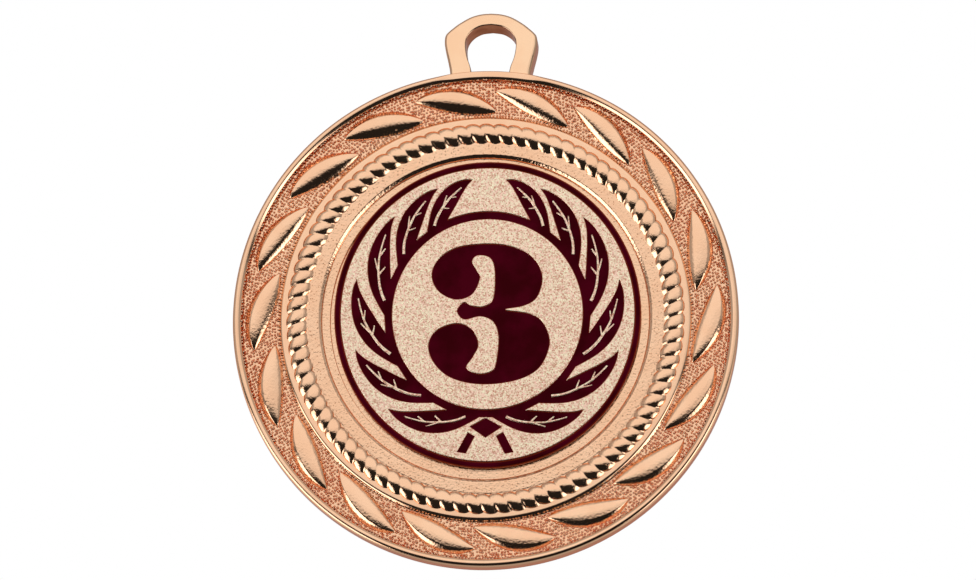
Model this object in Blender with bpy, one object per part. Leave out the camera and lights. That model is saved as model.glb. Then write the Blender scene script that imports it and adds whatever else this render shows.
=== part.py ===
"""Award medal: a die-cast disc with an eyelet, a leaf border and a rope ring, and a stick-on emblem.

The medal hangs upright. +Z is up, the front faces -Y, and the origin is the centre of the eyelet's
hole, in the middle of the thickness. Sizes are in millimetres until mesh_object() scales them.
"Height" is measured from the medal's back plane towards the viewer of the front.
"""

import math

import bmesh
import bpy
import numpy as np

MILLIMETRE = 0.001

# Driving sizes of the casting
MEDAL_RADIUS = 20.0
THICKNESS = 3.0
HOLE_CENTRE_TO_DISC_CENTRE = 22.0
RIM_INNER_RADIUS = 19.53
RIM_CHAMFER = 0.22
WALL_DRAFT = 0.12
GROUND_HEIGHT = 2.40
ROPE_BAND_OUTER_RADIUS = 16.15
ROPE_OUTER_RADIUS = 15.75
ROPE_INNER_RADIUS = 14.10
BAND_HEIGHT = 2.60
SEAT_RADIUS = 13.17
SEAT_HEIGHT = 2.05
BACK_RIM_WIDTH = 2.2
BACK_FIELD_DEPTH = 0.3
BACK_CHAMFER = 0.3

# The rope ring: slanted strands on a half-round ridge
ROPE_STRANDS = 87
ROPE_RISE = 0.42
ROPE_GROOVE = 0.30
ROPE_SLANT = math.radians(2.9)

# The eighteen leaves of the border
LEAF_COUNT = 18
LEAF_FIRST_ANGLE = math.radians(-2.3)
LEAF_CENTRE_RADIUS = 17.5
LEAF_HALF_LENGTH = 3.2
LEAF_CENTRE_SHIFT = 0.2
LEAF_LEAN = 0.85
LEAF_BOW = 0.15
LEAF_HALF_WIDTH = 1.05
LEAF_RISE = 0.52
LEAF_ROOT = 0.15
LEAF_STATIONS = 7

# The eyelet: right half of its outline as (across, up from the disc's centre)
EYELET_THICKNESS = 2.9
EYELET_CHAMFER = 0.22
EYELET_OUTER = ((3.90, 19.35), (3.40, 19.88), (3.42, 20.50), (3.60, 21.30), (3.68, 22.20),
                (3.45, 23.10), (2.85, 23.78), (1.95, 24.30), (0.95, 24.61), (0.0, 24.70))
EYELET_HOLE = ((1.46, 19.72), (1.62, 20.30), (1.93, 21.10), (2.08, 22.00), (1.98, 22.70),
               (1.55, 23.32), (0.85, 23.74), (0.0, 23.87))

# The emblem, stuck in the seat by hand
EMBLEM_RADIUS = 12.2
EMBLEM_RISE = 0.3
EMBLEM_TURN = math.radians(-0.5)
ADHESIVE_RADIUS = 11.9
ADHESIVE_THICKNESS = 0.10
EMBLEM_THICKNESS = 0.46
GAP = 0.02
LACQUER_THICKNESS = 0.13
POCKET_DEPTH = 0.12
BORDER_INNER_RADIUS = 11.68
WREATH_RING_INNER = 7.58
WREATH_RING_OUTER = 8.2
WREATH_TIP_RADIUS = 10.8

# Each leaf of the wreath: turn about the centre, from straight down, at its root and at its tip
WREATH_LEAVES = ((-1.0, 45.8), (25.9, 74.8), (54.5, 104.9), (84.0, 136.0), (114.1, 157.7), (139.9, 172.9))
# Outlines shared by all wreath leaves: (share of the turn, radius)
LEAF_BACK = ((0.10, 8.20), (0.20, 8.70), (0.32, 9.38), (0.45, 10.02), (0.60, 10.55), (0.75, 10.84), (0.90, 10.93))
LEAF_FRONT = ((0.92, 10.42), (0.82, 9.78), (0.72, 9.18), (0.62, 8.70), (0.50, 8.20))

# The numeral's outline as (across, up), clockwise from the notch at its waist
NUMERAL = ((1.46, 0.42), (2.90, 0.68), (3.90, 1.32), (4.34, 2.76), (3.94, 4.04), (2.90, 5.00), (1.14, 5.54),
           (-1.02, 5.56), (-2.78, 5.20), (-4.06, 4.28), (-4.48, 3.00), (-3.90, 1.80), (-2.56, 1.16),
           (-1.26, 1.56), (-0.64, 2.84), (-0.94, 3.56), (-1.28, 4.20), (-0.86, 4.68), (0.10, 4.52),
           (0.50, 3.72), (0.56, 2.20), (0.38, 1.08), (-0.30, 0.60), (-1.18, 0.64), (-1.90, 0.92),
           (-2.42, 0.25), (-1.85, -0.42), (-0.55, -0.18), (0.46, -0.60), (0.90, -1.70), (0.82, -3.40),
           (0.50, -4.44), (-0.54, -4.76), (-1.60, -4.30), (-1.10, -3.40), (-0.68, -2.40), (-1.26, -1.16),
           (-2.56, -0.76), (-4.14, -1.40), (-4.66, -2.60), (-4.14, -3.96), (-2.94, -5.00), (-1.10, -5.52),
           (1.06, -5.50), (3.06, -5.00), (4.34, -4.04), (4.98, -2.30), (4.50, -0.76), (3.46, 0.00), (1.46, 0.30))
KNOT = ((-1.26, -8.88), (0.02, -8.22), (1.29, -8.88), (0.0, -9.63))
STEM = ((1.42, -9.30), (0.84, -9.62), (1.56, -10.92), (2.26, -10.80))


def remove_everything():
    """Start from an empty scene."""
    for item in list(bpy.data.objects):
        bpy.data.objects.remove(item, do_unlink=True)


def metal_or_lacquer(name, colour, metallic, roughness):
    """A Principled material with one colour."""
    material = bpy.data.materials.new(name)
    material.use_nodes = True
    shader = material.node_tree.nodes["Principled BSDF"]
    shader.inputs["Base Color"].default_value = (*colour, 1.0)
    shader.inputs["Metallic"].default_value = metallic
    shader.inputs["Roughness"].default_value = roughness
    material.diffuse_color = (*colour, 1.0)
    return material


def place(across, up, height):
    """A point of the medal in the world, in millimetres."""
    return (across, THICKNESS / 2 - height, up - HOLE_CENTRE_TO_DISC_CENTRE)


def mesh_object(name, bm, material):
    """Turn a bmesh in millimetres into a closed object in metres with its faces pointing out."""
    bmesh.ops.remove_doubles(bm, verts=bm.verts, dist=1e-5)
    bmesh.ops.recalc_face_normals(bm, faces=bm.faces)
    bmesh.ops.scale(bm, vec=(MILLIMETRE, MILLIMETRE, MILLIMETRE), verts=bm.verts)
    mesh = bpy.data.meshes.new(name)
    bm.to_mesh(mesh)
    bm.free()
    if material:
        mesh.materials.append(material)
    item = bpy.data.objects.new(name, mesh)
    bpy.context.collection.objects.link(item)
    return item


def as_cutter(item):
    """Hide an object that only shapes another one."""
    item.hide_render = True
    item.display_type = "WIRE"
    return item


def combine(item, other, operation):
    """Add an exact Boolean that stays live on the object."""
    modifier = item.modifiers.new(operation.lower(), "BOOLEAN")
    modifier.operation = operation
    modifier.solver = "EXACT"
    modifier.object = other


# ---------------------------------------------------------------- outlines

def smooth_through(points, steps, closed):
    """A Catmull-Rom curve through the points, with the given number of steps on each span."""
    knots = np.array(points, dtype=float)
    if closed:
        padded = np.vstack([knots[-1:], knots, knots[:2]])
    else:
        padded = np.vstack([2 * knots[:1] - knots[1:2], knots, 2 * knots[-1:] - knots[-2:-1]])
    before, start, end, after = padded[:-3], padded[1:-2], padded[2:-1], padded[3:]
    t = (np.arange(steps) / steps)[None, :, None]
    before, start, end, after = (part[:, None, :] for part in (before, start, end, after))
    curve = 0.5 * (2 * start + (end - before) * t + (2 * before - 5 * start + 4 * end - after) * t ** 2
                   + (3 * start - before - 3 * end + after) * t ** 3)
    curve = curve.reshape(-1, 2)
    return curve if closed else np.vstack([curve, knots[-1:]])


def inset(outline, amount):
    """Move an anticlockwise or clockwise outline inwards along its corner normals."""
    before = np.roll(outline, 1, axis=0)
    after = np.roll(outline, -1, axis=0)
    along = after - before
    normal = np.column_stack([-along[:, 1], along[:, 0]])
    normal /= np.linalg.norm(normal, axis=1)[:, None]
    area = 0.5 * np.sum(outline[:, 0] * after[:, 1] - outline[:, 1] * after[:, 0])
    return outline + normal * amount * math.copysign(1.0, area)


def circle(radius, count):
    """A round outline."""
    turn = np.linspace(0.0, 2 * math.pi, count, endpoint=False)
    return np.column_stack([radius * np.cos(turn), radius * np.sin(turn)])


def wreath_outline():
    """The wreath's outer edge: out along each leaf's back, in along its front, up the left side first."""
    left = []
    for root, tip in WREATH_LEAVES:
        edge = np.vstack([LEAF_BACK, [(1.0, WREATH_TIP_RADIUS)], LEAF_FRONT])
        turn = np.radians(root + edge[:, 0] * (tip - root))
        left.append(np.column_stack([-edge[:, 1] * np.sin(turn), -edge[:, 1] * np.cos(turn)]))
    left = np.vstack(left)
    top = np.array([(0.0, WREATH_RING_OUTER)])
    bottom = np.array([(0.0, -WREATH_RING_OUTER)])
    right = left[::-1] * (-1, 1)
    return np.vstack([bottom, left, top, right])


def emblem_loops():
    """Every outline of the lacquer inside the border, by the name of its piece."""
    stem = np.array(STEM)
    return {
        "enamel_wreath": [wreath_outline(), circle(WREATH_RING_INNER, 96)],
        "enamel_numeral": [smooth_through(NUMERAL[1:-1], 2, False).tolist() + [NUMERAL[-1], NUMERAL[0]]],
        "enamel_knot": [np.array(KNOT)],
        "enamel_stem_right": [stem],
        "enamel_stem_left": [stem * (-1, 1)],
    }


def on_emblem(outline):
    """Turn and lift an outline with the emblem, which was stuck on by hand."""
    points = np.array(outline, dtype=float)
    cos, sin = math.cos(EMBLEM_TURN), math.sin(EMBLEM_TURN)
    across = points[:, 0] * cos - points[:, 1] * sin
    up = points[:, 0] * sin + points[:, 1] * cos + EMBLEM_RISE
    return np.column_stack([across, up])


# ---------------------------------------------------------------- solids

def prism(name, loops, low, high, material):
    """Fill the space between outlines, an inner one being a hole, and give it a thickness."""
    bm = bmesh.new()
    for loop in loops:
        corners = [bm.verts.new(place(across, up, low)) for across, up in loop]
        for first, second in zip(corners, corners[1:] + corners[:1]):
            bm.edges.new((first, second))
    bmesh.ops.triangle_fill(bm, use_beauty=True, use_dissolve=False, edges=bm.edges[:])
    grown = bmesh.ops.extrude_face_region(bm, geom=bm.faces[:])
    moved = [part for part in grown["geom"] if isinstance(part, bmesh.types.BMVert)]
    bmesh.ops.translate(bm, verts=moved, vec=(0.0, low - high, 0.0))
    return mesh_object(name, bm, material)


def casting_profile():
    """Rings of the casting from the back field round the rim to the seat: (radius, height, rope share)."""
    back_inner = MEDAL_RADIUS - BACK_RIM_WIDTH
    rows = [
        (back_inner - BACK_CHAMFER, BACK_FIELD_DEPTH, None),
        (back_inner, 0.0, None),
        (MEDAL_RADIUS - BACK_CHAMFER, 0.0, None),
        (MEDAL_RADIUS, BACK_CHAMFER, None),
        (MEDAL_RADIUS, THICKNESS - RIM_CHAMFER, None),
        (MEDAL_RADIUS - RIM_CHAMFER, THICKNESS, None),
        (RIM_INNER_RADIUS, THICKNESS, None),
        (RIM_INNER_RADIUS - WALL_DRAFT, GROUND_HEIGHT, None),
        (ROPE_BAND_OUTER_RADIUS + WALL_DRAFT, GROUND_HEIGHT, None),
        (ROPE_BAND_OUTER_RADIUS, BAND_HEIGHT, None),
    ]
    for share in (0.0, 0.2, 0.5, 0.8, 1.0):
        radius = ROPE_OUTER_RADIUS + share * (ROPE_INNER_RADIUS - ROPE_OUTER_RADIUS)
        rows.append((radius, BAND_HEIGHT, share))
    rows.append((SEAT_RADIUS, BAND_HEIGHT, None))
    rows.append((SEAT_RADIUS - WALL_DRAFT, SEAT_HEIGHT, None))
    return rows


def casting_ring(bm, radius, height, rope_share):
    """One ring of the casting. A ring on the rope has two points for each strand: crest and groove."""
    count = ROPE_STRANDS if rope_share is None else 2 * ROPE_STRANDS
    turn = np.linspace(0.0, 2 * math.pi, count, endpoint=False)
    heights = np.full(count, height)
    if rope_share is not None:
        arch = math.sin(math.pi * rope_share)
        turn = turn + ROPE_SLANT * (0.5 - rope_share)
        heights[0::2] += ROPE_RISE * arch
        heights[1::2] += (ROPE_RISE - ROPE_GROOVE) * arch
    return [bm.verts.new(place(radius * math.cos(a), radius * math.sin(a), h)) for a, h in zip(turn, heights)]


def join_rings(bm, first, second):
    """Bridge two rings, where one may have twice as many points as the other."""
    if len(first) > len(second):
        first, second = second, first
    count = len(first)
    ratio = len(second) // count
    for i in range(count):
        here, there = first[i], first[(i + 1) % count]
        if ratio == 1:
            bm.faces.new((here, there, second[(i + 1) % count], second[i]))
            continue
        near, middle, far = second[2 * i], second[2 * i + 1], second[(2 * i + 2) % len(second)]
        bm.faces.new((here, middle, near))
        bm.faces.new((here, there, middle))
        bm.faces.new((there, far, middle))


def casting_body(material):
    """The disc itself, as one closed stack of rings."""
    bm = bmesh.new()
    rings = [casting_ring(bm, *row) for row in casting_profile()]
    bm.faces.new(rings[0])
    for first, second in zip(rings, rings[1:]):
        join_rings(bm, first, second)
    bm.faces.new(rings[-1])
    return mesh_object("medal_casting", bm, material)


def leaf_point(angle, along, aside, height):
    """A point of a border leaf: along runs -1 to 1 from tip to tip, aside is a share of the half width."""
    across = LEAF_CENTRE_SHIFT + LEAF_HALF_LENGTH * along
    half_width = LEAF_HALF_WIDTH * (1 - along ** 2) ** 0.8
    offset = 0.1 + LEAF_LEAN * along + LEAF_BOW * (1 - along ** 2) + aside * half_width
    radius = LEAF_CENTRE_RADIUS + offset
    turn = angle + across / LEAF_CENTRE_RADIUS
    return place(radius * math.cos(turn), radius * math.sin(turn), height)


def add_leaf(bm, angle):
    """One closed lens: a flat underside inside the casting, and a ridge that falls off to both sides."""
    low = GROUND_HEIGHT - LEAF_ROOT
    section = ((-1.0, low), (-0.6, GROUND_HEIGHT + 0.72 * LEAF_RISE), (0.0, GROUND_HEIGHT + LEAF_RISE),
               (0.6, GROUND_HEIGHT + 0.72 * LEAF_RISE), (1.0, low))
    first_tip = bm.verts.new(leaf_point(angle, -1.0, 0.0, low))
    last_tip = bm.verts.new(leaf_point(angle, 1.0, 0.0, low))
    rows = []
    for along in np.linspace(-1.0, 1.0, LEAF_STATIONS)[1:-1]:
        rows.append([bm.verts.new(leaf_point(angle, along, aside, height)) for aside, height in section])
    for one, two in zip(rows, rows[1:]):
        for j in range(len(section) - 1):
            bm.faces.new((one[j], two[j], two[j + 1], one[j + 1]))
    for j in range(len(section) - 1):
        bm.faces.new((first_tip, rows[0][j], rows[0][j + 1]))
        bm.faces.new((last_tip, rows[-1][j + 1], rows[-1][j]))
    under = [row[0] for row in rows] + [last_tip] + [row[-1] for row in reversed(rows)] + [first_tip]
    bm.faces.new(under)


def border_leaves():
    """All leaves of the border, evenly spaced round the ground."""
    bm = bmesh.new()
    for index in range(LEAF_COUNT):
        add_leaf(bm, LEAF_FIRST_ANGLE + index * 2 * math.pi / LEAF_COUNT)
    return mesh_object("leaves_to_join", bm, None)


def eyelet_arch():
    """The eyelet as a bent strap whose feet sink into the rim, with chamfered edges."""
    outer = np.vstack([EYELET_OUTER[:1], smooth_through(EYELET_OUTER[1:], 2, False)])
    hole = smooth_through(EYELET_HOLE, 2, False)
    mirrored = (-1, 1)
    outline = np.vstack([outer, outer[-2::-1] * mirrored, hole[:-1] * mirrored, hole[::-1]])
    low = (THICKNESS - EYELET_THICKNESS) / 2
    arch = prism("eyelet_to_join", [outline], low, low + EYELET_THICKNESS, None)
    bevel = arch.modifiers.new("chamfer", "BEVEL")
    bevel.width = EYELET_CHAMFER * MILLIMETRE
    bevel.segments = 1
    bevel.limit_method = "ANGLE"
    bevel.angle_limit = math.radians(60)
    return arch


def build_casting(material):
    """The casting: disc, leaves and eyelet in one piece of metal."""
    casting = casting_body(material)
    combine(casting, as_cutter(border_leaves()), "UNION")
    combine(casting, as_cutter(eyelet_arch()), "UNION")


def build_emblem(plate_material, lacquer_material, adhesive_material):
    """The emblem: a foam adhesive pad, a stamped plate with pockets, and lacquer in each pocket."""
    pad_low = SEAT_HEIGHT + GAP
    plate_low = pad_low + ADHESIVE_THICKNESS + GAP
    plate_high = plate_low + EMBLEM_THICKNESS
    pocket_floor = plate_high - POCKET_DEPTH
    lacquer_low = pocket_floor + GAP
    lacquer_high = lacquer_low + LACQUER_THICKNESS

    prism("emblem_adhesive", [on_emblem(circle(ADHESIVE_RADIUS, 64))], pad_low, pad_low + ADHESIVE_THICKNESS,
          adhesive_material)

    plate = prism("emblem_disc", [on_emblem(circle(EMBLEM_RADIUS, 96))], plate_low, plate_high, plate_material)
    pieces = emblem_loops()
    pocket_loops = [on_emblem(loop) for loops in pieces.values() for loop in loops]
    combine(plate, as_cutter(prism("pockets", pocket_loops, pocket_floor, plate_high + 1.0, None)), "DIFFERENCE")
    rebate_loops = [on_emblem(circle(EMBLEM_RADIUS + 1.0, 96)), on_emblem(circle(BORDER_INNER_RADIUS, 96))]
    combine(plate, as_cutter(prism("rebate", rebate_loops, pocket_floor, plate_high + 1.0, None)), "DIFFERENCE")

    border_loops = [on_emblem(circle(EMBLEM_RADIUS, 96)), on_emblem(circle(BORDER_INNER_RADIUS + GAP, 96))]
    prism("enamel_border_ring", border_loops, lacquer_low, lacquer_high, lacquer_material)
    for name, loops in pieces.items():
        outer = on_emblem(inset(np.array(loops[0], dtype=float), GAP))
        holes = [on_emblem(inset(np.array(loop), -GAP)) for loop in loops[1:]]
        prism(name, [outer, *holes], lacquer_low, lacquer_high, lacquer_material)


def main():
    """Build the whole medal."""
    remove_everything()
    bronze = metal_or_lacquer("bronze_plating", (0.80, 0.50, 0.32), 1.0, 0.22)
    gold = metal_or_lacquer("stamped_gold_plate", (0.86, 0.68, 0.52), 1.0, 0.45)
    burgundy = metal_or_lacquer("burgundy_lacquer", (0.05, 0.002, 0.004), 0.0, 0.12)
    foam = metal_or_lacquer("foam_adhesive", (0.75, 0.75, 0.72), 0.0, 0.9)
    build_casting(bronze)
    build_emblem(gold, burgundy, foam)


main()
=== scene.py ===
"""The looks of the award medal: plated casting, frosted emblem plate and burgundy lacquer.

The medal hangs upright with its front towards -Y. Sizes are in millimetres and are turned into metres
when a mesh is made. "Height" is measured from the medal's back plane towards the viewer of the front.
"""

import math

import bpy
import numpy as np
from mathutils import Matrix, Vector
from mathutils.geometry import delaunay_2d_cdt


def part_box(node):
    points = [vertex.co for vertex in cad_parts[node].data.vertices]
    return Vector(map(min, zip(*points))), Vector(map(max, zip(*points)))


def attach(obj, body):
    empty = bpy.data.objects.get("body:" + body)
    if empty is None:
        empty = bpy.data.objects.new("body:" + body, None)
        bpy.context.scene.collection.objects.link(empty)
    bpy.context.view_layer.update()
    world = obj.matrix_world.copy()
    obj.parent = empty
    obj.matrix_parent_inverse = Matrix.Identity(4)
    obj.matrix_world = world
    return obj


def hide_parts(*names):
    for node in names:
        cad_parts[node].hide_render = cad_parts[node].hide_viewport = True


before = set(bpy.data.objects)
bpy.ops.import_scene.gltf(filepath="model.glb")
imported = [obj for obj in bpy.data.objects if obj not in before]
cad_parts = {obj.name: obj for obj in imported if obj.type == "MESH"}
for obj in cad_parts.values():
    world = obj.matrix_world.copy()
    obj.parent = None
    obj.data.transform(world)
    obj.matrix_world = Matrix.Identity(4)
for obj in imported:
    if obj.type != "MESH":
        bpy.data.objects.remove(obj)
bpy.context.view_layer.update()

MILLIMETRE = 0.001
# Points of an outline that lie nearer than this count as one when it is filled
SAME_POINT = 0.000001
CASTING_LOW, CASTING_HIGH = (np.array(corner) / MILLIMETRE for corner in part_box("medal_casting"))
EMBLEM_LOW, EMBLEM_HIGH = (np.array(corner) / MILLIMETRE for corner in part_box("emblem_disc"))
BACK_Y = CASTING_HIGH[1]
MEDAL_RADIUS = 20.0
DISC_CENTRE_UP = CASTING_LOW[2] + MEDAL_RADIUS
EMBLEM_MIDDLE = (EMBLEM_LOW + EMBLEM_HIGH) / 2
EMBLEM_CENTRE = np.array([EMBLEM_MIDDLE[0], EMBLEM_MIDDLE[2] - DISC_CENTRE_UP])

# The casting: radii from the disc's centre, and heights
THICKNESS = 3.0
GROUND_INNER_RADIUS = 16.34
GROUND_OUTER_RADIUS = 19.32
GROUND_HEIGHT = 2.40
BAND_OUTER_RADIUS = 16.12
BAND_HEIGHT = 2.60
SEAT_RADIUS = 13.17
SEAT_HEIGHT = 2.30
BACK_FIELD_RADIUS = 17.5
BACK_FIELD_DEPTH = 0.3
EMBLEM_RADIUS = 12.2
RECESS_RADIUS = EMBLEM_RADIUS + 0.1
RECESS_FLOOR = SEAT_HEIGHT - 0.25
# The seat's mask, between two radii and above a height, and how much it adds to the pits and to the peel
SEAT_MASK_OUTER, SEAT_MASK_INNER = SEAT_RADIUS + 1.0, SEAT_RADIUS + 0.85
SEAT_MASK_HEIGHT = 1.0
SEAT_PIT_SHARE = 0.5
SEAT_PEEL = 8.5
# Inside this radius the flat middles of front and back are fans of triangles
FAN_RADIUS = 0.6

# The disc's profile as (radius, height): the back outwards, the rim (or below the eyelet its collar), then
# the front inwards
BACK_PROFILE = ((FAN_RADIUS, BACK_FIELD_DEPTH), (BACK_FIELD_RADIUS, BACK_FIELD_DEPTH),
                (BACK_FIELD_RADIUS + 0.3, 0.0))
RIM_PROFILE = ((18.9, 0.0), (MEDAL_RADIUS, 1.0), (MEDAL_RADIUS, 2.72), (19.88, 2.93), (19.72, THICKNESS),
               (19.56, 2.98), (19.36, 2.84))
COLLAR_PROFILE = ((19.75, 0.0), (MEDAL_RADIUS, 0.30), (MEDAL_RADIUS, 2.86), (19.96, 2.97), (19.80, THICKNESS),
                  (19.46, THICKNESS), (19.28, 2.80))
FRONT_PROFILE = ((GROUND_OUTER_RADIUS - 0.06, GROUND_HEIGHT), (GROUND_INNER_RADIUS, GROUND_HEIGHT),
                 (BAND_OUTER_RADIUS, BAND_HEIGHT), (SEAT_RADIUS + 0.05, BAND_HEIGHT),
                 (SEAT_RADIUS - 0.19, 2.42), (SEAT_RADIUS - 0.23, SEAT_HEIGHT), (RECESS_RADIUS, SEAT_HEIGHT),
                 (RECESS_RADIUS - 0.02, RECESS_FLOOR), (FAN_RADIUS, RECESS_FLOOR))
# How far each inner corner of the whole profile is rounded off
PROFILE_ROUNDINGS = (0.12, 0.12, 0.45, 0.5, 0.10, 0.06, 0.06, 0.06, 0.06, 0.05, 0.08, 0.12, 0.06, 0.05, 0.06,
                     0.04, 0.02)
ROUNDING_SUPPORT = 0.02
DISC_STEPS = 720
# The collar reaches this far along the edge to each side of the top, and fades out over its last part
COLLAR_REACH = 4.6
COLLAR_FADE = 1.8

ROPE_STRANDS = 87
ROPE_CENTRE_RADIUS = 14.925
ROPE_HALF_WIDTH = 0.86
ROPE_RISE = 0.44
ROPE_PEAK = 1.5
ROPE_GROOVE_DEPTH = 0.21
ROPE_GROOVE_POWER = 2.4
ROPE_TWIST = 0.75
ROPE_SINK = 0.04
ROPE_STRAND_STEPS = 16
# The rope's section: how far its upper arc goes on past both sides, and its lower one stops short of them
ROPE_ARC_PAST = 0.12
ROPE_ARC_SHORT = 0.6

LEAF_COUNT = 18
LEAF_SPACING = 2 * math.pi / LEAF_COUNT
LEAF_FIRST_ANGLE = math.radians(-2.3)
LEAF_CENTRE_RADIUS = 17.5
LEAF_HALF_LENGTH = 3.2
LEAF_CENTRE_SHIFT = 0.2
LEAF_OFFSET = 0.1
LEAF_LEAN = 0.85
LEAF_BOW = 0.15
LEAF_HALF_WIDTH = 1.13
LEAF_WIDTH_POWER = 0.8
LEAF_FALL_INNER_POWER = 2.6
LEAF_FALL_OUTER_POWER = 0.55
LEAF_STEPS = 64
# How far the cosine that spaces a leaf's sections stops short of both tips
LEAF_TIP_CUT = 0.06
# A border leaf's section from its inner to its outer edge: (share of the half width, height over the ground)
LEAF_SECTION = ((-1.0, -0.05), (-0.94, 0.0), (-0.87, 0.06), (-0.78, 0.16), (-0.67, 0.255), (-0.53, 0.345),
                (-0.36, 0.42), (-0.13, 0.465), (0.13, 0.475), (0.36, 0.455), (0.52, 0.43), (0.64, 0.36),
                (0.76, 0.265), (0.87, 0.16), (0.94, 0.06), (1.0, -0.05))
LEAF_UNDERSIDE = ((0.6, -0.12), (-0.6, -0.12))

PEBBLE_PITCH = 0.25
PEBBLE_RADIUS = 0.122
PEBBLE_RISE = 0.135
PEBBLE_OVERLAP = 0.13
PEBBLE_ROW_SHARE = 0.93
PEBBLE_JITTER = 0.14
PEBBLE_SIZES = (0.85, 1.2)
PEBBLE_FIRST_ROW = GROUND_INNER_RADIUS + 0.1
PEBBLE_LAST_ROW = GROUND_OUTER_RADIUS - 0.05
PEBBLE_SIDES = 6
# A pebble's rings from the bottom up, as (share of its radius, share of its rise)
PEBBLE_RINGS = ((1.0, -0.3), (0.80, 0.50), (0.45, 0.87))
PEBBLE_UNDERSIDE = -0.4
# The last row, at the foot of the rim: its pebbles are larger, and beyond the start of the rise taller again
RIM_ROW = GROUND_OUTER_RADIUS + 0.02
RIM_RISE_START = GROUND_OUTER_RADIUS - 0.1
RIM_PEBBLE_SIZE = 1.35
RIM_PEBBLE_STRETCH = 2.3

EYELET_THICKNESS = 2.7
EYELET_OUTER_ROUNDING = 0.3
EYELET_HOLE_ROUNDING = 0.1
EYELET_SUPPORT = 0.03
EYELET_STEPS = 180
EYELET_ARC_STEPS = 6
# How strongly painted shade darkens its inner and its outer side
EYELET_HOLE_SHADE = 1.5
EYELET_OUTER_SHADE = 0.5
# The lines of the eyelet's right half, from its foot to its top, as (across, up) from the disc's centre
EYELET_OUTER = ((3.20, 19.40), (3.22, 20.02), (3.38, 20.80), (3.57, 21.60), (3.69, 22.35), (3.64, 22.92),
                (3.42, 23.23), (3.00, 23.60), (2.52, 23.97), (1.66, 24.47), (0.85, 24.72), (0.0, 24.80))
EYELET_HOLE = ((1.46, 19.60), (1.60, 20.38), (1.88, 21.20), (2.01, 22.10), (1.92, 22.70),
               (1.52, 23.27), (0.85, 23.67), (0.0, 23.80))

# The emblem, drawn upright round its own centre, then stretched, turned and shifted into its place
EMBLEM_TURN = math.radians(0.3)
EMBLEM_STRETCH = (0.995, 1.013)
EMBLEM_SHIFT = (0.17, -0.03)
BORDER_INNER_RADIUS = 11.68
WREATH_RING_INNER = 7.58
WREATH_RING_OUTER = 8.2
PLATE_TOP = BACK_Y - EMBLEM_LOW[1]
PLATE_BOTTOM = BACK_Y - EMBLEM_HIGH[1]
POCKET_FLOOR = PLATE_TOP - 0.12
LACQUER_TOP = PLATE_TOP - 0.075

# The emblem's edges from the bottom up, as (distance into the piece, height)
PLATE_EDGE = ((0.03, PLATE_BOTTOM), (0.0, PLATE_BOTTOM + 0.03), (0.0, POCKET_FLOOR - 0.04),
              (0.02, POCKET_FLOOR))
RAISED_EDGE = ((0.0, POCKET_FLOOR - 0.1), (0.0, PLATE_TOP - 0.04), (0.012, PLATE_TOP - 0.018),
               (0.03, PLATE_TOP - 0.006), (0.055, PLATE_TOP))
BORDER_EDGE = ((0.0, POCKET_FLOOR + 0.005), (0.0, LACQUER_TOP - 0.07), (0.05, LACQUER_TOP - 0.022),
               (0.12, LACQUER_TOP - 0.004), (0.19, LACQUER_TOP))
LACQUER_EDGE = ((-0.01, POCKET_FLOOR + 0.005), (-0.01, LACQUER_TOP + 0.012), (0.03, LACQUER_TOP + 0.004),
                (0.08, LACQUER_TOP))
# How thin the lacquer counts as at each level of its edge, from 1 to 0
BORDER_THINNESS = (1.0, 1.0, 0.7, 0.3, 0.0)
LACQUER_THINNESS = (1.0, 1.0, 0.7, 0.0)
# The sides of the emblem's circles, and the points on each span of its other lines
BORDER_SIDES = 480
WREATH_RING_SIDES = 300
PAD_SIDES = 240
NUMERAL_STEPS = 8
LEAF_LINE_STEPS = 6
POLYGON_STEPS = 6

# The root and the tip of each leaf of the wreath, in degrees round from its foot
WREATH_LEAVES = ((-1.0, 45.8), (25.9, 74.8), (54.5, 104.9), (84.0, 136.0), (114.1, 157.7), (139.9, 172.9))
# The two edges of such a leaf, as (share of the way from root to tip, radius)
LEAF_BACK = ((0.10, 8.20), (0.20, 8.70), (0.32, 9.38), (0.45, 10.02), (0.60, 10.55), (0.75, 10.84),
             (0.90, 10.93), (1.0, 10.82))
LEAF_FRONT = ((1.0, 10.82), (0.92, 10.42), (0.82, 9.78), (0.72, 9.18), (0.62, 8.70), (0.50, 8.22))
# Its veins, in the same terms: the midrib and three side veins
LEAF_VEINS = (((0.26, 8.28), (0.36, 8.76), (0.47, 9.18), (0.56, 9.50), (0.65, 9.82), (0.74, 10.08),
               (0.84, 10.38)),
              ((0.525, 9.38), (0.57, 9.72), (0.62, 10.08)),
              ((0.50, 9.27), (0.545, 9.12), (0.59, 9.02)),
              ((0.66, 9.84), (0.70, 9.77), (0.74, 9.74)))
# Each vein's steps and half width, which the taper scales from its first number down by its second
MIDRIB = (26, 0.115)
SIDE_VEIN = (9, 0.085)
VEIN_TAPER = (1.05, 0.5)
VEIN_ROUNDNESS = 0.6
VEIN_RISE = 0.045
VEIN_UNDERSIDE = ((-0.5, -0.4), (0.5, -0.4))

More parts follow.
